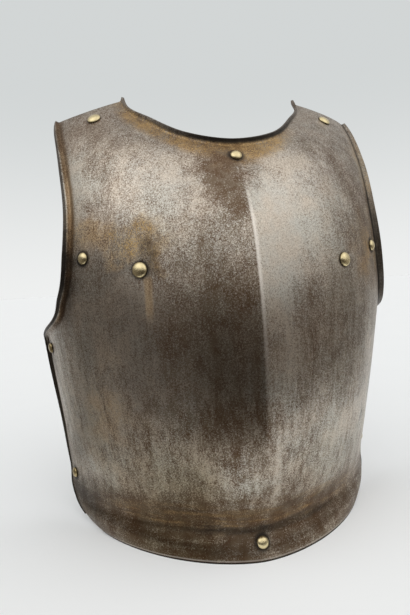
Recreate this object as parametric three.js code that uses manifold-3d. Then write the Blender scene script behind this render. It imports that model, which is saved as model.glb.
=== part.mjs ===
// The steel breastplate of a heavy cavalry cuirass, in millimetres, +Z up.
// It stands on its bottom rim at Z = 0, its front faces -Y, and X = 0 is its middle.
// The outer face is a stack of horizontal sections, each one half of a superellipse. A place on it is an
// angle round the upright axis, in degrees from the front towards the right side, and a height.
// Every edge but the shoulders' is turned outward from the same sheet.

import * as THREE from 'three';
import { mergeVertices } from 'three/addons/utils/BufferGeometryUtils.js';
import Module from 'manifold-3d';

const wasm = await Module();
wasm.setup();

// Plate
const wall = 2.6;
const backwardShift = 97.1; // moves the middle of the depth to Y = 0
const waistHeight = 25;
const armpitHeight = 189.5;
const shoulderEndHeight = 407;
const neckEndAngle = 65;
const shoulderSag = 3.5; // the shoulder's cut edge dips this far below a straight line
const ridgeHeight = 11;
const ridgeHalfWidth = 60;

// The rim lies flat up to an angle, then its corner curves up to the side edge.
// It is trimmed flat at Z = 0, so the sheet starts a little lower.
const trim = 4;
const rimEndAngle = 51;
const cornerTopHeight = 49;
const sideEdgeAngle = 85;

// Outer face: half width at the sides, depth at the front, exponent of the superellipse
const sections = [
  { z: -5, halfWidth: 153.3, depth: 157.7, exponent: 1.73 },
  { z: 0, halfWidth: 156.7, depth: 156.3, exponent: 1.73 },
  { z: 7, halfWidth: 162.6, depth: 154.6, exponent: 1.7 },
  { z: 14, halfWidth: 166.4, depth: 151.5, exponent: 1.68 },
  { z: 19, halfWidth: 168.8, depth: 148.8, exponent: 1.63 },
  { z: 25, halfWidth: 170.2, depth: 146.3, exponent: 1.57 },
  { z: 33, halfWidth: 170.3, depth: 147.8, exponent: 1.57 },
  { z: 50, halfWidth: 168.5, depth: 155, exponent: 1.62 },
  { z: 70, halfWidth: 170, depth: 161.5, exponent: 1.65 },
  { z: 100, halfWidth: 172, depth: 167.5, exponent: 1.71 },
  { z: 170, halfWidth: 179, depth: 172.5, exponent: 1.85 },
  { z: 240, halfWidth: 184, depth: 168, exponent: 2 },
  { z: 300, halfWidth: 182, depth: 154.5, exponent: 2.08 },
  { z: 355, halfWidth: 177.5, depth: 127, exponent: 2.1 },
  { z: 400, halfWidth: 168, depth: 79.5, exponent: 2.2 },
  { z: 440, halfWidth: 143, depth: 32, exponent: 2.15 },
];

// Medial ridge: how much of its full height it has
const ridge = [
  { z: 0, share: 0 },
  { z: 38, share: 0 },
  { z: 90, share: 0.7 },
  { z: 150, share: 1 },
  { z: 250, share: 1 },
  { z: 300, share: 0.7 },
  { z: 335, share: 0 },
  { z: 440, share: 0 },
];

// Armhole edge above the armpit
const armhole = [
  { z: 189.5, angle: 85 },
  { z: 206, angle: 67.5 },
  { z: 232, angle: 58.8 },
  { z: 272, angle: 55 },
  { z: 323, angle: 57 },
  { z: 374, angle: 67.3 },
  { z: 407, angle: 78 },
];

// Neck edge
const neck = [
  { angle: -20, z: 365.4 },
  { angle: 0, z: 357.2 },
  { angle: 20, z: 365.4 },
  { angle: 40, z: 388.8 },
  { angle: 58, z: 412 },
  { angle: 65, z: 423.3 },
];

// Turned edges: how far the lip is bent out of the sheet, its bend, the flat past it and its share of both
const turnAngle = 65;
const bendRadius = 2.6;
const lipFlat = 3;
const sideLip = [
  { z: 0, share: 0.2 },
  { z: 48, share: 0.3 },
  { z: 186, share: 1.1 },
  { z: 240, share: 1.3 },
  { z: 340, share: 1.1 },
  { z: 410, share: 0.8 },
];
const neckLip = [
  { angle: 0, share: 1.2 },
  { angle: 40, share: 1.1 },
  { angle: 58, share: 0.8 },
  { angle: 65, share: 1 },
];

// Rivets: places on the right half, mirrored to the left where paired
const shankRadius = 2.1;
const clearance = 0.3;
const hollowing = 0.2; // the wall curves this much across a head
const largeHead = { radius: 6.4, height: 3.8 };
const smallHead = { radius: 5.2, height: 3.2 };
const flatHead = { radius: 6.4, height: 3 };
const tail = { radius: 3.8, crownRadius: 2.6, shoulder: 1.2, height: 1.5 }; // peened over inside the plate

// Profile of a domed head, as shares of its radius and height
const dome = [
  { radius: 1, height: 0 },
  { radius: 0.92, height: 0.4 },
  { radius: 0.6, height: 0.82 },
  { radius: 0, height: 1 },
];
const rivetPairs = [
  { name: 'rivet_shoulder', angle: 63.3, z: 401, head: flatHead },
  { name: 'rivet_chest_inner', angle: 31.5, z: 253.5, head: largeHead },
  { name: 'rivet_chest_outer', angle: 50, z: 266.5, head: smallHead },
  { name: 'rivet_side_upper', angle: 78.5, z: 183, head: smallHead },
  { name: 'rivet_side_lower', angle: 80, z: 50, head: smallHead },
];
const middleRivets = [
  { name: 'rivet_neck', z: 347.5, head: smallHead },
  { name: 'rivet_skirt', z: 14.5, head: smallHead },
];

// Fineness of the faceted solid
const columns = 22; // across one half
const neckColumns = 14; // of those, under the neck
const skirtRows = 4;
const sideRows = 10; // from the waist to the armpits
const chestRows = 15; // from the armpits to the top
const armholeEase = 1.6; // crowds the rows at the armpit, where the edge turns sharply
const lipSteps = 3;
const rivetSides = 14;
const holeSides = 10;

const brass = { color: 0xb89a4e, roughness: 0.35, metalness: 1 };
const steel = { color: 0x6f655c, roughness: 0.45, metalness: 1 };

// A smooth curve through one column of a table, read at x in its `key` column.
function smooth(table, key, column, x) {
  const last = table.length - 1;
  const at = THREE.MathUtils.clamp(x, table[0][key], table[last][key]);
  let i = 0;
  while (i < last - 1 && at > table[i + 1][key]) i += 1;
  const step = (k) => table[k + 1][key] - table[k][key];
  const rise = (k) => (table[k + 1][column] - table[k][column]) / step(k);
  const slope = (k) => {
    if (k === 0) return rise(0);
    if (k === last) return rise(last - 1);
    return (rise(k - 1) * step(k) + rise(k) * step(k - 1)) / (step(k - 1) + step(k));
  };
  const t = (at - table[i][key]) / step(i);
  const start = table[i][column] * (1 + 2 * t) * (1 - t) ** 2 + slope(i) * step(i) * t * (1 - t) ** 2;
  const end = table[i + 1][column] * (3 - 2 * t) * t ** 2 - slope(i + 1) * step(i) * (1 - t) * t ** 2;
  return start + end;
}

// A point of the outer face.
function facePoint(angle, z) {
  const turn = THREE.MathUtils.degToRad(angle);
  const halfWidth = smooth(sections, 'z', 'halfWidth', z);
  const depth = smooth(sections, 'z', 'depth', z);
  const exponent = smooth(sections, 'z', 'exponent', z);
  const across = Math.abs(Math.sin(turn) / halfWidth) ** exponent;
  const forward = Math.abs(Math.cos(turn) / depth) ** exponent;
  const radius = (across + forward) ** (-1 / exponent);
  const x = radius * Math.sin(turn);
  const crest = Math.max(0, 1 - Math.abs(x) / ridgeHalfWidth) ** 2;
  const keel = ridgeHeight * smooth(ridge, 'z', 'share', z) * crest;
  return new THREE.Vector3(x, backwardShift - radius * Math.cos(turn) - keel, z);
}

// The outward normal of the outer face.
function faceNormal(angle, z) {
  const across = facePoint(angle + 0.2, z).sub(facePoint(angle - 0.2, z));
  const upward = facePoint(angle, z + 0.5).sub(facePoint(angle, z - 0.5));
  return across.cross(upward).normalize();
}

// The four edges of the right half, each as an angle and a height.
function cornerRise(angle) {
  const t = THREE.MathUtils.clamp((angle - rimEndAngle) / (sideEdgeAngle - rimEndAngle), 0, 1);
  return (cornerTopHeight + trim) * (1 - Math.sqrt(1 - t * t)) - trim;
}

function sideAngle(z) {
  if (z > armpitHeight) return smooth(armhole, 'z', 'angle', z);
  if (z > cornerTopHeight) return sideEdgeAngle;
  const t = (cornerTopHeight - z) / (cornerTopHeight + trim);
  return rimEndAngle + (sideEdgeAngle - rimEndAngle) * Math.sqrt(1 - t * t);
}

const cornerMiddleAngle = THREE.MathUtils.lerp(rimEndAngle, sideEdgeAngle, Math.SQRT1_2);
const shoulderEndAngle = armhole[armhole.length - 1].angle;
const neckTopHeight = neck[neck.length - 1].z;

function bottomEdge(s) {
  const angle = s * cornerMiddleAngle;
  return [angle, cornerRise(angle)];
}

function waistLine(s) {
  return [s * sideAngle(waistHeight), waistHeight];
}

function armpitLine(s) {
  return [s * sideEdgeAngle, armpitHeight];
}

function topEdge(s) {
  const neckShare = neckColumns / columns;
  if (s <= neckShare) {
    const angle = (neckEndAngle * s) / neckShare;
    return [angle, smooth(neck, 'angle', 'z', angle)];
  }
  const t = (s - neckShare) / (1 - neckShare);
  const angle = THREE.MathUtils.lerp(neckEndAngle, shoulderEndAngle, t);
  const straight = THREE.MathUtils.lerp(neckTopHeight, shoulderEndHeight, t);
  return [angle, straight - shoulderSag * Math.sin(Math.PI * t)];
}

// A place between two level lines and the side edge, s across and t up, by blending opposite edges.
function blend(lower, upper, s, t, ease = 1) {
  const [lowerAngle, lowerHeight] = lower(s);
  const [upperAngle, upperHeight] = upper(s);
  const sideHeight = THREE.MathUtils.lerp(lower(1)[1], upper(1)[1], t ** ease);
  const angleOffset = sideAngle(sideHeight) - THREE.MathUtils.lerp(lower(1)[0], upper(1)[0], t);
  const heightOffset = sideHeight - THREE.MathUtils.lerp(lower(1)[1], upper(1)[1], t);
  const angle = THREE.MathUtils.lerp(lowerAngle, upperAngle, t);
  const height = THREE.MathUtils.lerp(lowerHeight, upperHeight, t);
  return [angle + s * angleOffset, height + s * heightOffset];
}

// Column i runs from -columns to columns, row j from the rim up.
function place(i, j) {
  const s = Math.abs(i) / columns;
  const side = Math.sign(i);
  const above = j - skirtRows;
  let spot;
  if (above < 0) spot = blend(bottomEdge, waistLine, s, j / skirtRows);
  else if (above < sideRows) spot = blend(waistLine, armpitLine, s, above / sideRows);
  else spot = blend(armpitLine, topEdge, s, (above - sideRows) / chestRows, armholeEase);
  return [side * spot[0], spot[1]];
}

const rows = skirtRows + sideRows + chestRows;

// A point of a turned lip, `step` steps past an edge of the face, where the sheet leaves along `outward`.
function lipPoint(edge, outward, normal, step, share) {
  const turn = THREE.MathUtils.degToRad(turnAngle) * Math.min(1, step / (lipSteps - 1));
  const flat = step === lipSteps ? lipFlat : 0;
  const along = bendRadius * Math.sin(turn) + flat * Math.cos(turn);
  const out = bendRadius * (1 - Math.cos(turn)) + flat * Math.sin(turn);
  return edge.clone().addScaledVector(outward, share * along).addScaledVector(normal, share * out);
}

function gridPoint(i, j) {
  const iEdge = THREE.MathUtils.clamp(i, -columns, columns);
  const jEdge = Math.min(j, rows);
  const [angle, z] = place(iEdge, jEdge);
  const edge = facePoint(angle, z);
  const pastSide = Math.abs(i - iEdge);
  const pastNeck = j - jEdge;
  if (pastSide === 0 && pastNeck === 0) return edge;
  const normal = faceNormal(angle, z);
  const before = pastSide ? place(iEdge, Math.max(0, j - 1)) : place(Math.max(-neckColumns, i - 1), rows);
  const after = pastSide ? place(iEdge, Math.min(rows, j + 1)) : place(Math.min(neckColumns, i + 1), rows);
  const tangent = facePoint(...after).sub(facePoint(...before)).normalize();
  const outward = pastSide && i > 0 ? tangent.cross(normal) : normal.clone().cross(tangent);
  const sideShare = smooth(sideLip, 'z', 'share', z);
  const neckShare = smooth(neckLip, 'angle', 'share', Math.abs(angle));
  const share = pastSide ? sideShare : neckShare;
  return lipPoint(edge, outward.normalize(), normal, pastSide + pastNeck, share);
}

// Does the sheet reach grid point i, j? Lips run along both sides and over the neck.
function onSheet(i, j) {
  return j <= rows || Math.abs(i) <= neckColumns;
}

// A closed wall whose outer face is the given grid.
function shell(points, quads, thickness) {
  const normals = points.map(() => new THREE.Vector3());
  for (const [a, b, c, d] of quads) {
    const first = points[c].clone().sub(points[a]);
    const second = points[d].clone().sub(points[b]);
    const normal = first.cross(second).normalize();
    for (const corner of [a, b, c, d]) normals[corner].add(normal);
  }
  const inner = points.map((point, k) => point.clone().addScaledVector(normals[k].normalize(), -thickness));
  const triangles = [];
  const edges = new Map();
  const count = points.length;
  for (const quad of quads) {
    const rising = points[quad[0]].distanceTo(points[quad[2]]);
    const falling = points[quad[1]].distanceTo(points[quad[3]]);
    const [a, b, c, d] = rising < falling ? quad : [...quad.slice(1), quad[0]];
    triangles.push(a, b, c, a, c, d);
    triangles.push(count + a, count + c, count + b, count + a, count + d, count + c);
    quad.forEach((from, k) => {
      const to = quad[(k + 1) % 4];
      if (!edges.delete(`${to},${from}`)) edges.set(`${from},${to}`, [from, to]);
    });
  }
  for (const [from, to] of edges.values()) {
    triangles.push(from, count + from, count + to, from, count + to, to);
  }
  const geometry = new THREE.BufferGeometry();
  const flat = [...points, ...inner].flatMap((point) => point.toArray());
  geometry.setAttribute('position', new THREE.Float32BufferAttribute(flat, 3));
  geometry.setIndex(triangles);
  return geometry;
}

function sheetGeometry() {
  const index = new Map();
  const points = [];
  for (let j = 0; j <= rows + lipSteps; j += 1) {
    for (let i = -columns - lipSteps; i <= columns + lipSteps; i += 1) {
      if (onSheet(i, j)) {
        index.set(`${i},${j}`, points.length);
        points.push(gridPoint(i, j));
      }
    }
  }
  const quads = [];
  for (let j = 0; j < rows + lipSteps; j += 1) {
    for (let i = -columns - lipSteps; i < columns + lipSteps; i += 1) {
      const keys = [`${i},${j}`, `${i + 1},${j}`, `${i + 1},${j + 1}`, `${i},${j + 1}`];
      if (keys.every((key) => index.has(key))) quads.push(keys.map((key) => index.get(key)));
    }
  }
  return shell(points, quads, wall);
}

function toSolid(geometry) {
  const bare = geometry.clone();
  bare.deleteAttribute('normal');
  bare.deleteAttribute('uv');
  const merged = mergeVertices(bare, 1e-4);
  const vertProperties = new Float32Array(merged.attributes.position.array);
  const triVerts = new Uint32Array(merged.index.array);
  return new wasm.Manifold(new wasm.Mesh({ numProp: 3, vertProperties, triVerts }));
}

function toGeometry(solid) {
  const mesh = solid.getMesh();
  const geometry = new THREE.BufferGeometry();
  geometry.setAttribute('position', new THREE.BufferAttribute(mesh.vertProperties, 3));
  geometry.setIndex(new THREE.BufferAttribute(mesh.triVerts, 1));
  return geometry;
}

function makeMesh(name, geometry, finish) {
  const mesh = new THREE.Mesh(geometry, new THREE.MeshStandardMaterial(finish));
  mesh.name = name;
  return mesh;
}

// Where a rivet sits: on the outer face, its axis along the normal.
function seat(angle, z) {
  const turn = new THREE.Quaternion().setFromUnitVectors(new THREE.Vector3(0, 1, 0), faceNormal(angle, z));
  return new THREE.Matrix4().compose(facePoint(angle, z), turn, new THREE.Vector3(1, 1, 1));
}

// One rivet along Y: a domed head outside, a shank through the wall and a low peened tail inside.
function rivetGeometry(head) {
  const under = clearance + hollowing;
  const inside = -wall - clearance - hollowing;
  const profile = [
    [0, inside - tail.height],
    [tail.crownRadius, inside - tail.shoulder],
    [tail.radius, inside],
    [shankRadius, inside],
    [shankRadius, under],
    ...dome.map((ring) => [ring.radius * head.radius, under + ring.height * head.height]),
  ];
  return new THREE.LatheGeometry(profile.map(([x, y]) => new THREE.Vector2(x, y)), rivetSides);
}

const rivets = middleRivets.map((rivet) => ({ ...rivet, angle: 0 }));
for (const pair of rivetPairs) {
  rivets.push({ ...pair, name: `${pair.name}_right` });
  rivets.push({ ...pair, name: `${pair.name}_left`, angle: -pair.angle });
}

function plateGeometry() {
  let solid = toSolid(sheetGeometry());
  const width = 4 * sections[0].halfWidth;
  const below = new THREE.BoxGeometry(width, width, width).translate(0, 0, -width / 2);
  solid = solid.subtract(toSolid(below));
  const holeRadius = shankRadius + clearance;
  const holeLength = 6 * wall; // well past both faces
  for (const { angle, z } of rivets) {
    const hole = new THREE.CylinderGeometry(holeRadius, holeRadius, holeLength, holeSides);
    solid = solid.subtract(toSolid(hole.applyMatrix4(seat(angle, z))));
  }
  return toGeometry(solid);
}

const group = new THREE.Group();
group.add(makeMesh('plate', plateGeometry(), steel));
for (const { name, angle, z, head } of rivets) {
  const mesh = makeMesh(name, rivetGeometry(head), brass);
  mesh.applyMatrix4(seat(angle, z));
  group.add(mesh);
}

export default group;
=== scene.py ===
"""The steel breastplate of a heavy cavalry cuirass with its brass rivets, standing in a pale studio."""
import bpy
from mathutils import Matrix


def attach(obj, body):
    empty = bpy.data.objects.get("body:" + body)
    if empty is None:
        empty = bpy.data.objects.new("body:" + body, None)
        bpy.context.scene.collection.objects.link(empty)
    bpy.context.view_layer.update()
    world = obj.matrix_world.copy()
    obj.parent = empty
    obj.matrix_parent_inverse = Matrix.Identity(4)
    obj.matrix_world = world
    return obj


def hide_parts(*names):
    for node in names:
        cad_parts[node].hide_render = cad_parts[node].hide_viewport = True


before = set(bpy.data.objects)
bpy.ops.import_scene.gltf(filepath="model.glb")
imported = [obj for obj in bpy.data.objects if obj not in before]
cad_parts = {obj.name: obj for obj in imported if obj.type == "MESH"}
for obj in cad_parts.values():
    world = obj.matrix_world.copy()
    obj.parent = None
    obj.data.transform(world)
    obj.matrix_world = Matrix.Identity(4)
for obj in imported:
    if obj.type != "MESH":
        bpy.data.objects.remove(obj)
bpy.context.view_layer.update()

from types import SimpleNamespace

import bpy
import numpy as np
from mathutils import Matrix, Vector

MM = 0.001  # the shape's tables are in millimetres; meshes are in metres


def table(columns, rows):
    """A short table as one array for each named column."""
    return dict(zip(columns.split(), np.array(rows, float).T))


# ---------------------------------------------------------------- shape of the plate

WALL = 2.6
BACKWARD_SHIFT = 97.1
WAIST_HEIGHT = 25.0
ARMPIT_HEIGHT = 189.5
SHOULDER_END_HEIGHT = 407.0
NECK_END_ANGLE = 65.0
SHOULDER_SAG = 3.5
RIDGE_HEIGHT = 11.0
RIDGE_HALF_WIDTH = 60.0
CREST_SOFTNESS = 1.6  # rounds the ridge's very top
TRIM = 4.0
RIM_END_ANGLE = 51.0
CORNER_TOP_HEIGHT = 49.0
SIDE_EDGE_ANGLE = 85.0
TURN_ANGLE = 65.0  # how far the lips turn out of the sheet
BEND_RADIUS = 2.6
LIP_FLAT = 3.0  # the straight part of a lip, past its bend
EDGE_WEAR = 0.5

SECTIONS = table("z half_width depth exponent", [
    (-5, 153.3, 157.7, 1.73),
    (0, 156.7, 156.3, 1.73),
    (7, 162.6, 154.6, 1.7),
    (14, 166.4, 151.5, 1.68),
    (19, 168.8, 148.8, 1.63),
    (25, 170.2, 146.3, 1.57),
    (33, 170.3, 147.8, 1.57),
    (50, 168.5, 155, 1.62),
    (70, 170, 161.5, 1.65),
    (100, 172, 167.5, 1.71),
    (170, 179, 172.5, 1.85),
    (240, 184, 168, 2),
    (300, 182, 154.5, 2.08),
    (355, 177.5, 127, 2.1),
    (400, 168, 79.5, 2.2),
    (440, 143, 32, 2.15),
])
RIDGE = table("z share", [(0, 0), (38, 0), (90, 0.7), (150, 1), (250, 1), (300, 0.7), (335, 0), (440, 0)])
ARMHOLE = table("z angle", [
    (189.5, 85),
    (206, 67.5),
    (232, 58.8),
    (272, 55),
    (323, 57),
    (374, 67.3),
    (407, 78),
])
NECK = table("angle z", [(-20, 365.4), (0, 357.2), (20, 365.4), (40, 388.8), (58, 412), (65, 423.3)])
SIDE_LIP = table("z share", [(0, 0.2), (48, 0.3), (186, 1.1), (240, 1.3), (340, 1.1), (410, 0.8)])
NECK_LIP = table("angle share", [(0, 1.2), (40, 1.1), (58, 0.8), (65, 1.0)])

# Fineness of the finished surface
COLUMNS = 110  # across one half
NECK_COLUMNS = 70  # of those, under the neck
SKIRT_ROWS = 16
SIDE_ROWS = 44
CHEST_ROWS = 66
ROWS = SKIRT_ROWS + SIDE_ROWS + CHEST_ROWS
BEND_STEPS = 5
LIP_STEPS = 7
ARMHOLE_EASE = 1.6


def smooth(curve, key, column, x):
    """A curve through a table: cubic pieces between neighbouring rows. The slope at a row is the mean of
    the slopes on its two sides, each weighted by the length of the other side."""
    xs, ys = curve[key], curve[column]
    x = np.clip(x, xs[0], xs[-1])
    step = np.diff(xs)
    rise = np.diff(ys) / step
    inner = (rise[:-1] * step[1:] + rise[1:] * step[:-1]) / (step[:-1] + step[1:])
    slope = np.concatenate([rise[:1], inner, rise[-1:]])
    i = np.clip(np.searchsorted(xs, x, side="right") - 1, 0, len(xs) - 2)
    t = (x - xs[i]) / step[i]
    start = ys[i] * (1 + 2 * t) * (1 - t) ** 2 + slope[i] * step[i] * t * (1 - t) ** 2
    end = ys[i + 1] * (3 - 2 * t) * t ** 2 - slope[i + 1] * step[i] * (1 - t) * t ** 2
    return start + end


def face(angle, z):
    """A point of the outer face: at each height a superellipse, whose radius at an angle is ((|sin| /
    half width)^p + (|cos| / depth)^p)^(-1/p), pushed forward near the middle by the ridge, whose height
    is its full height times (1 - distance from the middle / the ridge's half width)^2."""
    turn = np.radians(angle)
    half_width = smooth(SECTIONS, "z", "half_width", z)
    depth = smooth(SECTIONS, "z", "depth", z)
    exponent = smooth(SECTIONS, "z", "exponent", z)
    across = np.abs(np.sin(turn) / half_width) ** exponent
    forward = np.abs(np.cos(turn) / depth) ** exponent
    radius = (across + forward) ** (-1 / exponent)
    x = radius * np.sin(turn)
    off_middle = np.sqrt(x ** 2 + CREST_SOFTNESS ** 2) - CREST_SOFTNESS
    crest = np.maximum(0, 1 - off_middle / RIDGE_HALF_WIDTH) ** 2
    keel = RIDGE_HEIGHT * smooth(RIDGE, "z", "share", z) * crest
    return np.stack([x, BACKWARD_SHIFT - radius * np.cos(turn) - keel, z + 0 * x], -1)


def unit(vectors):
    return vectors / np.linalg.norm(vectors, axis=-1, keepdims=True)


def face_normal(angle, z):
    """The outward normal of the outer face, from short steps across and up."""
    across = face(angle + 0.2, z) - face(angle - 0.2, z)
    upward = face(angle, z + 0.5) - face(angle, z - 0.5)
    return unit(np.cross(across, upward))


def mix(a, b, t):
    return a + (b - a) * t


def corner_rise(angle):
    """Height of the rim: a quarter of an ellipse from the flat rim up to the side edge, cut off at the
    floor."""
    t = np.clip((angle - RIM_END_ANGLE) / (SIDE_EDGE_ANGLE - RIM_END_ANGLE), 0, 1)
    return np.maximum(0, (CORNER_TOP_HEIGHT + TRIM) * (1 - np.sqrt(1 - t * t)) - TRIM)


def side_angle(z):
    """Angle of the side edge: the armhole's table above the armpit, straight below it, then the rim's
    corner."""
    t = np.clip((CORNER_TOP_HEIGHT - z) / (CORNER_TOP_HEIGHT + TRIM), 0, 1)
    corner = RIM_END_ANGLE + (SIDE_EDGE_ANGLE - RIM_END_ANGLE) * np.sqrt(1 - t * t)
    return np.where(z > ARMPIT_HEIGHT, smooth(ARMHOLE, "z", "angle", z), corner)


CORNER_MIDDLE_ANGLE = mix(RIM_END_ANGLE, SIDE_EDGE_ANGLE, np.sqrt(0.5))
NECK_SHARE = NECK_COLUMNS / COLUMNS


def bottom_edge(s):
    angle = s * CORNER_MIDDLE_ANGLE
    return angle, corner_rise(angle)


def waist_line(s):
    return s * side_angle(np.float64(WAIST_HEIGHT)), WAIST_HEIGHT + 0 * s


def armpit_line(s):
    return s * SIDE_EDGE_ANGLE, ARMPIT_HEIGHT + 0 * s


def top_edge(s):
    """The neck's curve, then the shoulder's cut, a straight line that sags by half a sine wave."""
    neck_angle = NECK_END_ANGLE * np.minimum(1, s / NECK_SHARE)
    t = np.clip((s - NECK_SHARE) / (1 - NECK_SHARE), 0, 1)
    shoulder_angle = mix(NECK_END_ANGLE, ARMHOLE["angle"][-1], t)
    shoulder_height = mix(NECK["z"][-1], SHOULDER_END_HEIGHT, t) - SHOULDER_SAG * np.sin(np.pi * t)
    neck_height = smooth(NECK, "angle", "z", neck_angle)
    on_neck = s <= NECK_SHARE
    return np.where(on_neck, neck_angle, shoulder_angle), np.where(on_neck, neck_height, shoulder_height)


def blend(lower, upper, s, t, ease=1):
    """A place between two level lines and the side edge, s across and t up, by blending opposite edges."""
    low, high = lower(s), upper(s)
    low_end, high_end = lower(np.ones(1)), upper(np.ones(1))
    side_height = mix(low_end[1], high_end[1], t ** ease)
    angle_offset = side_angle(side_height) - mix(low_end[0], high_end[0], t)
    height_offset = side_height - mix(low_end[1], high_end[1], t)
    return mix(low[0], high[0], t) + s * angle_offset, mix(low[1], high[1], t) + s * height_offset


def place(i, j):
    """Angle and height of grid column i, from -COLUMNS to COLUMNS, and row j, from the rim up."""
    s = np.abs(i) / COLUMNS
    armpit_row = SKIRT_ROWS + SIDE_ROWS
    skirt = blend(bottom_edge, waist_line, s, np.clip(j / SKIRT_ROWS, 0, 1))
    side = blend(waist_line, armpit_line, s, np.clip((j - SKIRT_ROWS) / SIDE_ROWS, 0, 1))
    chest = blend(armpit_line, top_edge, s, np.clip((j - armpit_row) / CHEST_ROWS, 0, 1), ARMHOLE_EASE)
    zones = [j < SKIRT_ROWS, j < armpit_row]
    angle, z = (np.select(zones, [skirt[k], side[k]], chest[k]) for k in (0, 1))
    return np.sign(i) * angle, z


# ---------------------------------------------------------------- meshes

def add_mesh(name, points, faces, attributes=()):
    """A smooth mesh at the origin from points in millimetres, with a float attribute for each name and
    array."""
    mesh = bpy.data.meshes.new(name)
    mesh.from_pydata((points * MM).tolist(), [], [list(map(int, f)) for f in faces])
    mesh.polygons.foreach_set("use_smooth", np.ones(len(mesh.polygons), bool))
    for key, values in dict(attributes).items():
        mesh.attributes.new(key, "FLOAT", "POINT").data.foreach_set("value", values.astype(np.float32))
    mesh.update()
    piece = bpy.data.objects.new(name, mesh)
    bpy.context.scene.collection.objects.link(piece)
    return piece


HAMMER_WAVES = 40
HAMMER_SHORTEST = 35
HAMMER_LONGEST = 120
HAMMER_HEIGHT = 0.035  # of the longest wave; shorter ones are lower in proportion
HAMMER_SETTLING = 30  # the waves die out over this height above the rim, which stays flat


def hammering(points):
    """Low waves left by the hammer, in millimetres: a sum of sine waves of many lengths in all
    directions."""
    rng = np.random.default_rng(11)
    length = rng.uniform(HAMMER_SHORTEST, HAMMER_LONGEST, HAMMER_WAVES)
    heading = rng.uniform(0, np.pi, HAMMER_WAVES)
    phase = rng.uniform(0, 2 * np.pi, HAMMER_WAVES)
    along = points[:, :1] * np.cos(heading) + points[:, 2:] * np.sin(heading)
    waves = length / HAMMER_LONGEST * np.sin(2 * np.pi * along / length + phase)
    return waves.sum(1) * HAMMER_HEIGHT * np.clip(points[:, 2] / HAMMER_SETTLING, 0, 1)


def plate_surface():
    """The outer face with its turned lips, as points, quads and the distances of each point from the side
    edges and from the neck, below 0 on their lips. A lip leaves its edge along a circular bend out of the
    sheet, then runs straight."""
    widest = COLUMNS + LIP_STEPS
    i, j = np.meshgrid(np.arange(-widest, widest + 1), np.arange(ROWS + LIP_STEPS + 1))
    on_sheet = (j <= ROWS) | (np.abs(i) <= NECK_COLUMNS)
    i_edge, j_edge = np.clip(i, -COLUMNS, COLUMNS), np.minimum(j, ROWS)
    past_side, past_neck = np.abs(i - i_edge), j - j_edge
    angle, z = place(i_edge, j_edge)
    point = face(angle, z)
    normal = face_normal(angle, z)
    side_run = face(*place(i_edge, np.minimum(ROWS, j + 1))) - face(*place(i_edge, np.maximum(0, j - 1)))
    after, before = (np.clip(i + k, -NECK_COLUMNS, NECK_COLUMNS) for k in (1, -1))
    neck_run = face(*place(after, j_edge)) - face(*place(before, j_edge))
    beside = (past_side > 0)[..., None]
    tangent = np.where(beside, side_run, neck_run)
    away = np.cross(normal, tangent)
    away = unit(np.where(beside & (i > 0)[..., None], -away, away) + 1e-12)
    neck_share = smooth(NECK_LIP, "angle", "share", np.abs(angle))
    share = np.where(past_side > 0, smooth(SIDE_LIP, "z", "share", z), neck_share)
    step = past_side + past_neck
    turn = np.radians(TURN_ANGLE) * np.minimum(1, step / BEND_STEPS)
    flat = LIP_FLAT * np.maximum(0, step - BEND_STEPS) / (LIP_STEPS - BEND_STEPS)
    along = share * (BEND_RADIUS * np.sin(turn) + flat * np.cos(turn))
    out = share * (BEND_RADIUS * (1 - np.cos(turn)) + flat * np.sin(turn))
    point = point + along[..., None] * away + out[..., None] * normal
    index = np.full(i.shape, -1)
    index[on_sheet] = np.arange(on_sheet.sum())
    corners = np.stack([index[:-1, :-1], index[:-1, 1:], index[1:, 1:], index[1:, :-1]], -1).reshape(-1, 4)
    quads = corners[(corners >= 0).all(1)]
    side_foot = face(*place(np.sign(i) * COLUMNS, j_edge))
    neck_foot = face(*place(np.clip(i, -NECK_COLUMNS, NECK_COLUMNS), ROWS + 0 * j))
    side_gap = np.linalg.norm(point - side_foot, axis=-1)
    neck_gap = np.linalg.norm(point - neck_foot, axis=-1)
    distances = {"side_distance": np.where(past_side > 0, -side_gap, side_gap),
                 "neck_distance": np.where(past_neck > 0, -neck_gap, neck_gap)}
    return point[on_sheet], quads, {key: value[on_sheet] for key, value in distances.items()}


def quad_normals(points, quads):
    """Unit normals at the points: the mean of the crossed diagonals of the quads round each."""
    a, b, c, d = (points[quads[:, k]] for k in range(4))
    crossed = unit(np.cross(c - a, d - b))
    total = np.zeros_like(points)
    for k in range(4):
        np.add.at(total, quads[:, k], crossed)
    return unit(total)


def shell(points, quads, wall):
    """A closed wall: the given face, a copy of it moved inward by the wall, and quads round its open
    edges."""
    inner = points - wall * quad_normals(points, quads)
    inner[:, 2] = np.maximum(0, inner[:, 2])
    count = len(points)
    start = quads.ravel()
    end = np.roll(quads, -1, axis=1).ravel()
    free = ~np.isin(end * count + start, start * count + end)
    start, end = start[free], end[free]
    rim = np.stack([start, start + count, end + count, end], -1)
    return np.concatenate([points, inner]), np.concatenate([quads, quads[:, ::-1] + count, rim])


def make_plate():
    """The outer face with its lips and hammering, given a wall, with its edges rubbed round. Its
    attributes are the distances from the side edges, the neck and the rivets in metres, and 1 on the
    inner face."""
    points, quads, distances = plate_surface()
    points = points + hammering(points)[:, None] * quad_normals(points, quads)
    count = len(points)
    points, faces = shell(points, quads, WALL)
    attributes = {key: np.tile(value, 2) * MM for key, value in distances.items()}
    attributes["inside"] = np.repeat([0.0, 1.0], count)
    attributes["rivet_distance"] = np.tile(rivet_distance(points[:count]), 2) * MM
    plate = add_mesh("steel_plate", points, faces, attributes)
    bevel = plate.modifiers.new("worn_edges", "BEVEL")
    bevel.width = EDGE_WEAR * MM
    bevel.segments = 2
    bevel.limit_method = "ANGLE"
    bevel.angle_limit = np.radians(50)
    return plate


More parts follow.
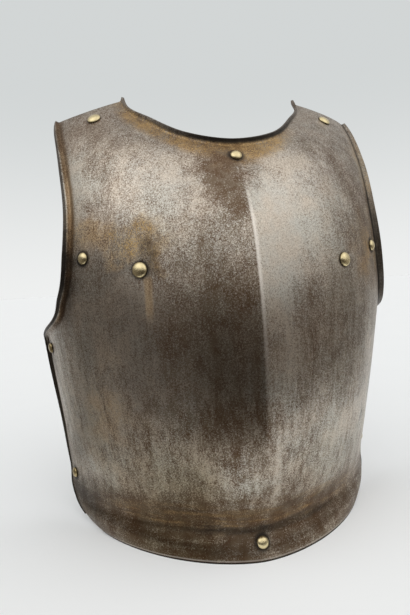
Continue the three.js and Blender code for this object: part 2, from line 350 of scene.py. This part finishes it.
# ---------------------------------------------------------------- rivets

HEADS = {"large": (6.4, 3.8), "small": (5.2, 3.2), "flat": (6.4, 3.0)}  # radius and height of the dome
RIVETS = [  # place on the right half; paired ones are mirrored to the left
    ("shoulder", 63.3, 401.0, "flat", True),
    ("chest_inner", 31.5, 253.5, "large", True),
    ("chest_outer", 50.0, 266.5, "small", True),
    ("side_upper", 78.5, 183.0, "small", True),
    ("side_lower", 80.0, 50.0, "small", True),
    ("neck", 0.0, 347.5, "small", False),
    ("skirt", 0.0, 14.5, "small", False),
]
BOTH_SIDES = (("_right", 1), ("_left", -1))
MIDDLE = (("", 1),)
RIVET_SIDES = 56
SHANK_RADIUS = 2.1
FOOT_SINK = 0.2  # the head goes this far into the sheet, so that no gap shows under it
FOOT_HEIGHT = 0.35
TAIL_RADIUS = 3.8
TAIL_HEIGHT = 1.5
TAIL_POLISH = 0.32  # the tail is as rubbed as this share of the way up a dome


def rivet_profile(radius, height):
    """Radius and height along a rivet from the middle of its tail to the top of its dome: a low peened
    tail, a straight shank hidden in the wall, a short upright foot and a quarter of a superellipse for
    the dome."""
    t = np.linspace(0, np.pi / 2, 9)
    tail = np.stack([TAIL_RADIUS * np.sin(t), -WALL - TAIL_HEIGHT * np.cos(t) ** 0.8], -1)
    t = np.linspace(0, np.pi / 2, 18)
    dome_rise = (height - FOOT_HEIGHT) * np.sin(t) ** 1.1
    dome = np.stack([radius * np.cos(t) ** 0.9, FOOT_HEIGHT + dome_rise], -1)
    shank = [(SHANK_RADIUS, -WALL), (SHANK_RADIUS, -FOOT_SINK)]
    foot = [(radius * 0.97, -FOOT_SINK), (radius, 0.1)]
    return np.concatenate([tail, shank, foot, dome])


def rivet_sites():
    """Label, signed angle, height and head of each rivet."""
    for label, angle, z, head, paired in RIVETS:
        for suffix, side in BOTH_SIDES if paired else MIDDLE:
            yield label + suffix, side * angle, z, head


def rivet_distance(points):
    """How far each point is from the nearest rivet's middle."""
    middles = np.array([face(np.float64(angle), np.float64(z)) for _, angle, z, _ in rivet_sites()])
    return np.linalg.norm(points[:, None] - middles, axis=-1).min(1)


def make_rivet(name, angle, z, head):
    """A profile spun round the face's normal, with its ends closed to a point. The attribute is the
    height up the dome, from 0 at its foot to 1 at its top, and TAIL_POLISH on the tail."""
    radius, height = HEADS[head]
    profile = rivet_profile(radius, height)
    angle, z = np.float64(angle), np.float64(z)
    seat, normal = face(angle, z), face_normal(angle, z)
    across = unit(np.cross(normal, [0.0, 0.0, 1.0]))
    up = np.cross(across, normal)
    turn = np.linspace(0, 2 * np.pi, RIVET_SIDES, endpoint=False)
    spoke = np.cos(turn)[:, None] * across + np.sin(turn)[:, None] * up
    middle, tips = profile[1:-1], profile[[0, -1], 1]
    points = (seat + middle[:, None, 1:] * normal + middle[:, None, :1] * spoke[None]).reshape(-1, 3)
    tip_points = seat + tips[:, None] * normal
    this = np.arange(RIVET_SIDES)
    following = (this + 1) % RIVET_SIDES
    foot_of_ring = np.arange(len(middle) - 1)[:, None] * RIVET_SIDES
    quads = np.stack([foot_of_ring + this, foot_of_ring + RIVET_SIDES + this,
                      foot_of_ring + RIVET_SIDES + following, foot_of_ring + following], -1).reshape(-1, 4)
    last_ring = len(points) - RIVET_SIDES
    tail_tip, dome_tip = (np.full_like(this, len(points) + k) for k in (0, 1))
    tail_end = np.stack([this, following, tail_tip], -1)
    dome_end = np.stack([last_ring + following, last_ring + this, dome_tip], -1)
    rise = np.concatenate([np.repeat(middle[:, 1], RIVET_SIDES), tips]) / height
    dome_height = np.where(rise < -0.5, TAIL_POLISH, np.clip(rise, 0, 1))
    faces = [*quads, *tail_end, *dome_end]
    return add_mesh(name, np.concatenate([points, tip_points]), faces, {"dome_height": dome_height})


# ---------------------------------------------------------------- shader building

class Value:
    """A varying number or vector in a node tree. Arithmetic on it adds Math nodes."""

    def __init__(self, shader, socket):
        self.shader, self.socket = shader, socket

    def __add__(self, other):
        return self.shader.math("ADD", self, other)

    def __sub__(self, other):
        return self.shader.math("SUBTRACT", self, other)

    def __rsub__(self, other):
        return self.shader.math("SUBTRACT", other, self)

    def __mul__(self, other):
        return self.shader.math("MULTIPLY", self, other)

    __radd__ = __add__
    __rmul__ = __mul__


class Shader:
    """A node tree and the few ways in which nodes are added to it."""

    def __init__(self, tree):
        self.tree = tree
        tree.nodes.clear()

    def node(self, kind, settings=None, sockets=None, output=0):
        """Adds a node: its settings first, then the values or links of its sockets. Returns one output."""
        node = self.tree.nodes.new(kind)
        for key, value in (settings or {}).items():
            setattr(node, key, value)
        for key, value in (sockets or {}).items():
            if isinstance(value, Value):
                self.tree.links.new(value.socket, node.inputs[key])
            else:
                node.inputs[key].default_value = value
        return Value(self, node.outputs[output]) if node.outputs else node

    def math(self, operation, *values):
        return self.node("ShaderNodeMath", {"operation": operation}, dict(enumerate(values)))

    def vector(self, operation, first, second, output=0):
        return self.node("ShaderNodeVectorMath", {"operation": operation}, {0: first, 1: second}, output)

    def fade(self, value, low, high, start=0.0, end=1.0):
        """From start to end, smoothly, as value goes from low to high."""
        settings = {"interpolation_type": "SMOOTHSTEP"}
        return self.node("ShaderNodeMapRange", settings, {0: value, 1: low, 2: high, 3: start, 4: end})

    def noise(self, where, scale, detail=2.0, roughness=0.5, output=0):
        sockets = {"Vector": where, "Scale": scale, "Detail": detail, "Roughness": roughness}
        return self.node("ShaderNodeTexNoise", {}, sockets, output)

    def tint(self, amount, under, over, blend="MIX"):
        """One colour over another by an amount."""
        settings = {"data_type": "RGBA", "blend_type": blend}
        return self.node("ShaderNodeMix", settings, {0: amount, 6: under, 7: over}, 2)

    def stretched(self, where, scale):
        return self.node("ShaderNodeMapping", {}, {"Vector": where, "Scale": scale})

    def patch(self, where, x, z, across, up):
        """1 at a place of the front, falling to 0 at an ellipse round it; all in millimetres."""
        scale = (1 / (across * MM), 0, 1 / (up * MM))
        sockets = {"Vector": where, "Location": (-x / across, 0, -z / up), "Scale": scale}
        distance = self.vector("LENGTH", self.node("ShaderNodeMapping", {}, sockets), (0, 0, 0), 1)
        return self.fade(distance, 0.0, 1.0, 1.0, 0.0)

    def patches(self, where, rows):
        """Patches of different strengths, added up."""
        return sum(strength * self.patch(where, *ellipse) for *ellipse, strength in rows)

    def band(self, value, start, full, fall, end):
        """0 up to start, 1 from full to fall, 0 again from end on."""
        return self.fade(value, start, full) * self.fade(value, fall, end, 1.0, 0.0)

    def attribute(self, name):
        return self.node("ShaderNodeAttribute", {"attribute_name": name}, output=2)


def new_material(name):
    material = bpy.data.materials.new(name)
    material.use_nodes = True
    return material, Shader(material.node_tree)


def finish_material(shader, colour, roughness, metallic, bump=None, distance=0.0, shine=0.5):
    """Closes a material: distance is the depth of its bump in metres, shine its specular level."""
    sockets = {"Base Color": colour, "Roughness": roughness, "Metallic": metallic}
    sockets["Specular IOR Level"] = shine
    if bump is not None:
        relief = {"Height": bump, "Strength": 1.0, "Distance": distance}
        sockets["Normal"] = shader.node("ShaderNodeBump", {}, relief)
    surface = shader.node("ShaderNodeBsdfPrincipled", {}, sockets)
    shader.node("ShaderNodeOutputMaterial", {}, {"Surface": surface})


# ---------------------------------------------------------------- steel

# Patches on the front: x and z of the middle, reach across and up, all in millimetres, and strength.
# Rubbed bright where the strength is above 0, browned where it is below
WEAR = [
    (-62, 322, 62, 52, 0.22),
    (-140, 325, 22, 75, 0.25),
    (-115, 190, 62, 90, 0.12),
    (46, 300, 72, 92, 0.30),
    (18, 210, 18, 90, 0.12),
    (-75, 80, 55, 60, 0.10),
    (75, 95, 60, 75, 0.16),
    (135, 120, 40, 110, 0.20),
    (-12, 330, 34, 60, -0.34),
    (-35, 205, 60, 90, -0.18),
    (-150, 100, 36, 90, 0.20),
    (-25, 128, 56, 44, -0.22),
    (-125, 385, 40, 50, -0.14),
    (120, 300, 45, 80, -0.14),
    (60, 200, 45, 60, -0.08),
    (-20, 40, 150, 50, -0.12),
    (-20, 72, 44, 24, 0.25),
    (150, 325, 24, 70, 0.20),
]
# Ochre rust: round the left chest rivets, by the right armhole, low on the left side and round the neck
# rivet
RUST = [
    (-140, 284, 26, 26, 0.7),
    (-96, 282, 46, 24, 1.4),
    (-80, 262, 14, 14, 1.0),
    (128, 262, 34, 46, 0.9),
    (152, 330, 30, 90, 0.7),
    (-128, 130, 40, 80, 0.5),
    (4, 346, 22, 18, 0.9),
]
# Black tarnish: by the left armhole and the left chest rivets, at the lower left corner, on the skirt and
# above its rivet, and one spot on the right side
TARNISH = [
    (-158, 252, 27, 52, 1.0),
    (-104, 262, 30, 14, 0.35),
    (-150, 30, 46, 34, 0.7),
    (-85, 262, 12, 16, 0.5),
    (6, 24, 16, 12, 0.3),
    (126, 100, 5, 5, 0.9),
    (-40, 18, 60, 14, 0.25),
]
# Marks in metres, first across by x, then up by z: each starts at the first number, is full between the
# middle two and is gone at the last. The rust under the neck counts from the neck's edge in place of up
MARKS = {
    "pale_streak": ((0.005, 0.010, 0.012, 0.018), (0.036, 0.050, 0.085, 0.125)),
    # The next three marks paint light: a painted highlight right of the ridge, painted shade left of it,
    # and a pale line on the crest that is partly rubbed metal and partly a painted highlight
    "painted_flank_highlight": ((-0.001, 0.002, 0.020, 0.055), (0.19, 0.24, 0.305, 0.335)),
    "painted_flank_shade": ((-0.07, -0.03, -0.002, 0.0005), (0.088, 0.125, 0.21, 0.28)),
    "crest": ((-0.001, 0.0004, 0.0012, 0.0040), (0.12, 0.27, 0.29, 0.33)),
    "rust_run": ((-0.088, -0.086, -0.083, -0.080), (0.205, 0.225, 0.245, 0.250)),
    "waist_rust": ((-0.16, -0.09, 0.07, 0.14), (0.020, 0.030, 0.036, 0.060)),
    # painted shade in the waist's crease
    "waist_crease_shade": ((-0.12, 0.0, 0.06, 0.10), (0.019, 0.023, 0.025, 0.030)),
    "neck_rust": ((-0.115, -0.075, 0.03, 0.075), (-0.006, -0.002, 0.006, 0.024)),
}
# Noises: scale, detail, roughness and the squeeze of each direction
NOISES = {
    "cloud": (34, 5, 0.7, (1, 1, 1)),
    "browning": (90, 3, 0.6, (1, 1, 1)),
    "drift": (17, 3, 0.6, (1, 1, 1)),
    "upright": (260, 4, 0.65, (1, 1, 0.17)),
    "level": (240, 3, 0.6, (0.10, 0.10, 1)),
    "drips": (75, 3, 0.6, (1, 1, 0.07)),
    "speckle": (780, 3, 0.8, (1, 1, 1)),
    "grain": (1700, 1, 0.5, (1, 1, 1)),
}
RAGGED = (0.07, 0.0, 0.07)  # the span within which patches wander across, back and up, in metres

PATINA = ((0.135, 0.083, 0.050, 1), (0.190, 0.142, 0.102, 1))  # dark and light
METAL = ((0.61, 0.592, 0.560, 1), (0.62, 0.569, 0.505, 1))  # cool and warm
DRIFT = ((0.97, 0.97, 0.92, 1), (0.99, 0.955, 0.90, 1))  # greenish and reddish
FLECK = (0.90, 0.87, 0.82, 1)
PIT = (0.26, 0.205, 0.16, 1)
SOOT = (0.62, 0.58, 0.50, 1)
PAINTED_FLANK_SHADE = (0.56, 0.54, 0.50, 1)
LOW_PAINTED_SHADE = (0.84, 0.82, 0.78, 1)
RUST_STAIN = (0.74, 0.56, 0.30, 1)
RUST_CRUST = ((0.06, 0.030, 0.008, 1), (0.60, 0.38, 0.15, 1))  # dark and light grains
LEFT_LIP_DARKENING = (0.48, 0.37, 0.26, 1)
BLACK = (0.030, 0.026, 0.022, 1)
RUBBED_AND_HIGHLIGHT = (0.78, 0.73, 0.66, 1)
INNER_STEEL = ((0.10, 0.075, 0.055, 1), (0.30, 0.25, 0.21, 1))  # browned and worn


def mark(sh, name, x, z):
    """One of the marks, from 0 outside it to 1 in its middle."""
    across, up = MARKS[name]
    return sh.band(x, *across) * sh.band(z, *up)


def steel_inputs(sh):
    """What the marks are worked out from: place, distances from edges and rivets, and the noises."""
    where = sh.node("ShaderNodeTexCoord", {}, output=3)
    parts = sh.node("ShaderNodeSeparateXYZ", {}, {0: where}).socket.node.outputs
    shift = sh.vector("SUBTRACT", sh.noise(where, 28, 4, 0.65, output=1), (0.5, 0.5, 0.5))
    at = SimpleNamespace(x=Value(sh, parts[0]), z=Value(sh, parts[2]))
    at.ragged = sh.vector("ADD", where, sh.vector("MULTIPLY", shift, RAGGED))
    at.left = sh.fade(at.x, 0.01, -0.01)
    at.neck = sh.attribute("neck_distance")
    at.side = sh.attribute("side_distance")
    at.rivet = sh.attribute("rivet_distance")
    at.inside = sh.attribute("inside")
    for name, (scale, detail, roughness, squeeze) in NOISES.items():
        setattr(at, name, sh.noise(sh.stretched(where, squeeze), scale, detail, roughness))
    return at


def bare_share(sh, at):
    """How far the patina is rubbed off: patches broken up by noise, upright streaks that turn level on
    the skirt, drips that are strongest low down, a pale streak, and extra bare metal right of the ridge as
    a painted highlight."""
    lower = sh.fade(at.z, 0.26, 0.10)
    skirt = sh.fade(at.z + 0.02 * (at.cloud - 0.5), 0.060, 0.028)
    streaks = sh.fade(skirt, 0, 1, at.upright, at.level)
    worn = 0.47 + sh.patches(at.ragged, WEAR) - 0.17 * skirt
    worn = worn + 0.6 * (at.cloud - 0.5) + 1.6 * (at.speckle - 0.5) + 1.0 * (at.grain - 0.5)
    worn = worn + (0.4 + 0.4 * lower) * (streaks - 0.5) + (0.35 + 0.35 * lower) * (at.drips - 0.5)
    worn = worn + 0.18 * mark(sh, "pale_streak", at.x, at.z)
    # painted highlight: extra bare metal in a band just right of the ridge
    worn = worn + 0.24 * (1 - at.inside) * mark(sh, "painted_flank_highlight", at.x, at.z)
    return sh.fade(worn, 0.20, 0.84)


def clean_colour(sh, at, bare):
    """Brown patina and pale metal with light flecks and dark pits, drifting in hue, darker low on the
    left, and with painted shade low down and on the left flank of the ridge."""
    patina = sh.tint(sh.fade(at.browning, 0.35, 0.65), *PATINA)
    metal = sh.tint(sh.fade(at.cloud, 0.35, 0.65), *METAL)
    colour = sh.tint(bare, patina, metal)
    colour = sh.tint(0.5 * bare * sh.fade(at.speckle, 0.57, 0.70), colour, FLECK)
    pits = sh.fade(0.6 * at.speckle + 0.4 * at.grain, 0.51, 0.41)
    colour = sh.tint(0.6 * bare * pits, colour, PIT)
    colour = sh.tint(1.0, colour, sh.tint(sh.fade(at.drift, 0.38, 0.62), *DRIFT), "MULTIPLY")
    sooty = sh.fade(at.z, 0.16, 0.06) * sh.band(at.x, -0.15, -0.08, -0.05, -0.02)
    colour = sh.tint(sooty, colour, SOOT, "MULTIPLY")
    # painted shade: the left flank of the ridge is darkened where the metal would mirror the dark room
    colour = sh.tint(0.8 * mark(sh, "painted_flank_shade", at.x, at.z), colour, PAINTED_FLANK_SHADE, "MULTIPLY")
    # painted shade: the colour is darkened towards the rim
    return sh.tint(sh.fade(at.z, 0.13, 0.04), colour, LOW_PAINTED_SHADE, "MULTIPLY")


def rust_share(sh, at):
    """Ochre rust: patches, a band under the neck, one along the waist and a run below a rivet."""
    broken = sh.fade(0.4 * at.cloud + 0.6 * at.speckle, 0.41, 0.56)
    under_neck = mark(sh, "neck_rust", at.x, at.neck)
    waist = mark(sh, "waist_rust", at.x, at.z + 0.03 * (at.cloud - 0.5)) * sh.fade(at.level, 0.42, 0.62)
    run = mark(sh, "rust_run", at.x + 0.006 * (at.drips - 0.5), at.z)
    rust = (sh.patches(at.ragged, RUST) + 1.5 * under_neck + 0.9 * waist) * broken
    return sh.math("MINIMUM", rust + 0.55 * run, 1.0)


def tarnish_and_shade_share(sh, at):
    """Black: tarnish in patches, and painted shade in rings round the rivets, on the lips and in their
    creases, in the waist's crease, and a painted contact shadow at the foot of the rim. Distances are
    below 0 on a lip."""
    right = 1 - at.left
    above_armpit = sh.fade(at.z, 0.19, 0.21)
    # painted shade: a dark ring round each rivet head
    ring = sh.fade(at.rivet + 0.003 * (at.cloud - 0.5), 0.0058, 0.0092, 0.8, 0.0)
    neck_fading = sh.fade(at.x, 0.05, 0.10, 0.92, 0.35) * sh.fade(at.x, -0.09, -0.02, 0.35, 1.0)
    # painted shade: the turned-out lips and the bend of the right one are blackened where they fall into
    # shade and mirror the plate's own dark face
    neck_lip_shade = sh.fade(at.neck, -0.0018, -0.0042) * neck_fading
    left_lip_shade = at.left * sh.fade(at.side, -0.0040, -0.0052) * 0.85
    right_lip_shade = right * sh.fade(at.side, 0.0005, -0.001) * sh.fade(at.z, 0.29, 0.345, 0.8, 0.3)
    right_lip_shade = right_lip_shade * above_armpit
    right_crease_shade = right * sh.band(at.side, -0.003, -0.001, 0.001, 0.004) * 0.5
    low_lip_shade = sh.fade(at.side, 0.0, -0.0008) * sh.fade(at.z, 0.20, 0.18) * 0.85
    # painted shade in the waist's crease
    waist = 0.5 * mark(sh, "waist_crease_shade", at.x, at.z + 0.006 * (at.level - 0.5))
    # painted contact shadow along the lowest millimetre of the rim, where it meets the floor
    foot = sh.fade(at.z, 0.0017, 0.0009) * 0.9
    patches = sh.patches(at.ragged, TARNISH) * sh.fade(at.cloud, 0.3, 0.6, 0.5, 1.0)
    dark = patches + ring + neck_lip_shade + left_lip_shade + right_lip_shade + right_crease_shade + low_lip_shade + waist + foot
    return sh.math("MINIMUM", dark, 0.95)


def rubbed_and_highlight_share(sh, at):
    """The rim's lower edge, rubbed bright, and the crest of the ridge, rubbed bright and carrying a
    painted highlight.
    """
    rim = 0.32 * sh.band(at.z, 0.0013, 0.0018, 0.0022, 0.0030)
    # the crest's pale line is partly rubbed metal and partly a painted highlight
    return sh.math("MAXIMUM", rim, 0.7 * mark(sh, "crest", at.x, at.z))


def steel_material():
    """Old steel: pale metal that shows through a brown patina as fine speckle and upright streaks, with
    ochre rust under the neck, round some rivets and along the waist, black tarnish in patches, painted
    shade on the lips, round the rivets, in the waist's crease and at the rim's foot, and painted light and
    shade by the ridge."""
    material, sh = new_material("worn_steel")
    at = steel_inputs(sh)
    bare = bare_share(sh, at)
    rust = rust_share(sh, at)
    dark = tarnish_and_shade_share(sh, at)
    colour = clean_colour(sh, at, bare)
    colour = sh.tint(rust, colour, RUST_STAIN, "MULTIPLY")
    colour = sh.tint(0.25 * rust, colour, sh.tint(at.speckle, *RUST_CRUST))
    # darker and browner along the left armhole's lip and its bend
    left_strip = at.left * sh.band(at.side, -0.0046, -0.003, 0.001, 0.006) * sh.fade(at.z, 0.19, 0.215)
    colour = sh.tint(left_strip, colour, LEFT_LIP_DARKENING, "MULTIPLY")
    # black tarnish, together with painted shade and a painted contact shadow
    colour = sh.tint(dark, colour, BLACK)
    colour = sh.tint(rubbed_and_highlight_share(sh, at), colour, RUBBED_AND_HIGHLIGHT)
    colour = sh.tint(at.inside, colour, sh.tint(bare, *INNER_STEEL))
    roughness = 0.46 - 0.15 * bare + 0.12 * rust + 0.08 * dark + 0.12 * at.inside
    metallic = sh.math("MAXIMUM", 0.94 + 0.06 * bare - 0.4 * rust, 0.3)
    finish_material(sh, colour, roughness, metallic, 0.7 * at.speckle + 0.3 * at.grain, 0.00015)
    return material


# ---------------------------------------------------------------- brass

BRASS = ((0.12, 0.085, 0.035, 1), (0.80, 0.68, 0.40, 1))  # tarnished and rubbed
SIDE_RIVET_DARKENING = (0.62, 0.58, 0.52, 1)


def brass_material():
    """Aged brass: pale gold where it is rubbed, brown and dull round the foot of the dome, and darker on
    the rivets of the side edges."""
    material, sh = new_material("aged_brass")
    where = sh.node("ShaderNodeTexCoord", {}, output=3)
    cloud = sh.noise(where, 260, 3, 0.6)
    grain = sh.noise(where, 1600, 2, 0.5)
    rubbed = sh.fade(sh.attribute("dome_height") + 0.35 * (cloud - 0.5), 0.05, 0.5)
    off_middle = sh.math("ABSOLUTE", sh.node("ShaderNodeSeparateXYZ", {}, {0: where}))
    # the rivets of the side edges are made darker
    colour = sh.tint(sh.fade(off_middle, 0.14, 0.165), sh.tint(rubbed, *BRASS), SIDE_RIVET_DARKENING, "MULTIPLY")
    finish_material(sh, colour, 0.55 - 0.27 * rubbed + 0.15 * (grain - 0.5), 1.0, grain, 0.00008)
    return material


# ---------------------------------------------------------------- floor, light and camera

FLOOR_REACH = 12.0
FLOOR = ((0.85, 0.855, 0.85, 1), (0.87, 0.875, 0.87, 1))
BACKDROP = ((0.862, 0.872, 0.867, 1), (0.645, 0.67, 0.67, 1))  # low and high
ROOM_LIGHT = ((0.22, 0.23, 0.235, 1), (1.78, 1.79, 1.795, 1))  # from behind and from the front
MIRRORED_ROOM = 0.55
SOFT_BOXES = [  # azimuth, elevation, full out to, gone past, all in degrees, and brightness
    (-48, 50, 12, 46, 0.83),
    (36, 28, 14, 38, 0.42),
    (60, 62, 10, 38, 0.42),
    (-9, 62, 9, 25, -0.34),  # a dimmer gap between the lights
]


def make_floor():
    mesh = bpy.data.meshes.new("floor")
    reach = FLOOR_REACH
    corners = [(-reach, -reach, 0), (reach, -reach, 0), (reach, reach, 0), (-reach, reach, 0)]
    mesh.from_pydata(corners, [], [(0, 1, 2, 3)])
    floor = bpy.data.objects.new("floor", mesh)
    bpy.context.scene.collection.objects.link(floor)
    material, sh = new_material("pale_floor")
    where = sh.node("ShaderNodeTexCoord", {}, output=3)
    finish_material(sh, sh.tint(sh.noise(where, 6), *FLOOR), 0.9, 0.0, shine=0.0)
    mesh.materials.append(material)


def heading(azimuth, elevation):
    """A direction from the object: azimuth from the front towards the right, and elevation, in degrees."""
    turn, rise = np.radians(azimuth), np.radians(elevation)
    return (np.sin(turn) * np.cos(rise), -np.cos(turn) * np.cos(rise), np.sin(rise))


def soft_box(sh, where, azimuth, elevation, full, gone):
    """1 within some degrees of a direction, falling to 0 at more degrees from it."""
    nearness = sh.vector("DOT_PRODUCT", where, heading(azimuth, elevation), 1)
    return sh.fade(nearness, np.cos(np.radians(gone)), np.cos(np.radians(full)))


def make_world():
    """A pale studio. The light on the floor is smooth and comes mostly from the front. The metal mirrors
    soft boxes above left and right with a dimmer gap between them. Behind the object stands a plain
    backdrop."""
    world = bpy.data.worlds.new("studio")
    bpy.context.scene.world = world
    world.use_nodes = True
    sh = Shader(world.node_tree)
    where = sh.node("ShaderNodeTexCoord", {}, output=0)
    depth, height = (sh.node("ShaderNodeSeparateXYZ", {}, {0: where}, axis) for axis in (1, 2))
    boxes = sum(strength * soft_box(sh, where, *box) for *box, strength in SOFT_BOXES)
    light = MIRRORED_ROOM + boxes
    mirrored = sh.node("ShaderNodeCombineColor", {}, {0: light, 1: light * 0.99, 2: light * 0.98})
    backdrop = sh.tint(sh.fade(height, -0.05, 0.38), *BACKDROP)
    smooth_light = sh.tint(sh.fade(depth, 0.7, -0.7), *ROOM_LIGHT)
    rays = sh.node("ShaderNodeLightPath").socket.node.outputs
    camera_ray, glossy_ray = (Value(sh, rays[name]) for name in ("Is Camera Ray", "Is Glossy Ray"))
    colour = sh.tint(camera_ray, sh.tint(glossy_ray, smooth_light, mirrored), backdrop)
    surface = sh.node("ShaderNodeBackground", {}, {"Color": colour, "Strength": 1.0})
    sh.node("ShaderNodeOutputWorld", {}, {"Surface": surface})


CLOTH = ((0.030, 0.021, 0.014, 1), (0.26, 0.24, 0.22, 1))
CLOTH_WIDTH = (-150, 130)  # azimuths of its ends
CLOTH_RISE_AT = 0.4  # share of its run where it stops lying and starts to stand
CLOTH_RADIUS = 0.75
CLOTH_HEIGHT = 0.75


def cloth_surface():
    """The cloth's places by azimuth and run: from a short way off the object, further off on the right,
    out to its radius along the floor, then straight up."""
    azimuth, run = np.meshgrid(np.linspace(*CLOTH_WIDTH, 57), np.linspace(0, 1, 41))
    turn = np.radians(azimuth)
    near = 0.19 + 0.22 * np.clip((azimuth - 25) / 50, 0, 1)
    radius = mix(near, CLOTH_RADIUS, np.clip(run / CLOTH_RISE_AT, 0, 1))
    height = 0.002 + CLOTH_HEIGHT * np.clip((run - CLOTH_RISE_AT) / (1 - CLOTH_RISE_AT), 0, 1)
    points = np.stack([radius * np.sin(turn), 0.05 - radius * np.cos(turn), height], -1).reshape(-1, 3)
    index = np.arange(len(points)).reshape(azimuth.shape)
    quads = np.stack([index[:-1, :-1], index[:-1, 1:], index[1:, 1:], index[1:, :-1]], -1).reshape(-1, 4)
    return points, quads, {"run": run.ravel(), "azimuth": azimuth.ravel()}


def cloth_material():
    """Dark cloth that glows a little to the sides, with soft edges: its top edge is highest on the far
    left."""
    material, sh = new_material("dark_cloth")
    run, azimuth = sh.attribute("run"), sh.attribute("azimuth")
    top = 0.66 + sh.fade(azimuth, -70, -30, 0.09, 0.032) - sh.fade(azimuth, -5, 20, 0.0, 0.024)
    top = top - sh.fade(azimuth, 30, 60, 0.0, 0.03)
    cover = sh.fade(run, 0.0, 0.12) * sh.fade(run - top, -0.06, 0.10, 1.0, 0.0)
    cover = cover * sh.fade(azimuth, -145, -100) * sh.fade(azimuth, 80, 130, 1.0, 0.0)
    glow = sh.fade(azimuth, -15, -90, 0.0, 0.55) + sh.fade(azimuth, -10, 90)
    shine = sh.node("ShaderNodeEmission", {}, {"Color": sh.tint(glow, *CLOTH), "Strength": 1.0})
    clear = sh.node("ShaderNodeBsdfTransparent")
    surface = sh.node("ShaderNodeMixShader", {}, {0: cover, 1: clear, 2: shine})
    sh.node("ShaderNodeOutputMaterial", {}, {"Surface": surface})
    return material


def make_flag():
    """A dark cloth round the front, of the kind that is put up round shiny metal. Only the metal's
    reflections see it."""
    points, quads, attributes = cloth_surface()
    flag = add_mesh("dark_flag", points / MM, quads, attributes)
    flag.data.materials.append(cloth_material())
    for ray in ("camera", "diffuse", "transmission", "volume_scatter", "shadow"):
        setattr(flag, f"visible_{ray}", False)


def make_camera():
    """A wide lens close to the plate, a little left of its middle and tilted by a few degrees."""
    data = bpy.data.cameras.new("camera")
    data.lens = 27.63
    data.sensor_width = 36.0
    data.clip_start = 0.01
    camera = bpy.data.objects.new("camera", data)
    bpy.context.scene.collection.objects.link(camera)
    spot = Vector((-0.1132, -0.4322, 0.2439))
    aim = Vector((-0.0208, 0.0371, 0.2143))
    tilt = Matrix.Rotation(np.radians(-3.28), 3, "Z")
    level = (aim - spot).to_track_quat("-Z", "Y").to_matrix()
    camera.matrix_world = Matrix.Translation(spot) @ (level @ tilt).to_4x4()
    bpy.context.scene.camera = camera


# ---------------------------------------------------------------- the scene

bpy.context.scene.view_settings.view_transform = "Standard"

steel = steel_material()
brass = brass_material()

plate = make_plate()
plate.data.materials.append(steel)
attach(plate, "root")
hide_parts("plate")

for label, angle, z, head in rivet_sites():
    rivet = make_rivet(f"brass_{label}", angle, z, head)
    rivet.data.materials.append(brass)
    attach(rivet, "root")
    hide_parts(f"rivet_{label}")

make_floor()
make_world()
make_flag()
make_camera()
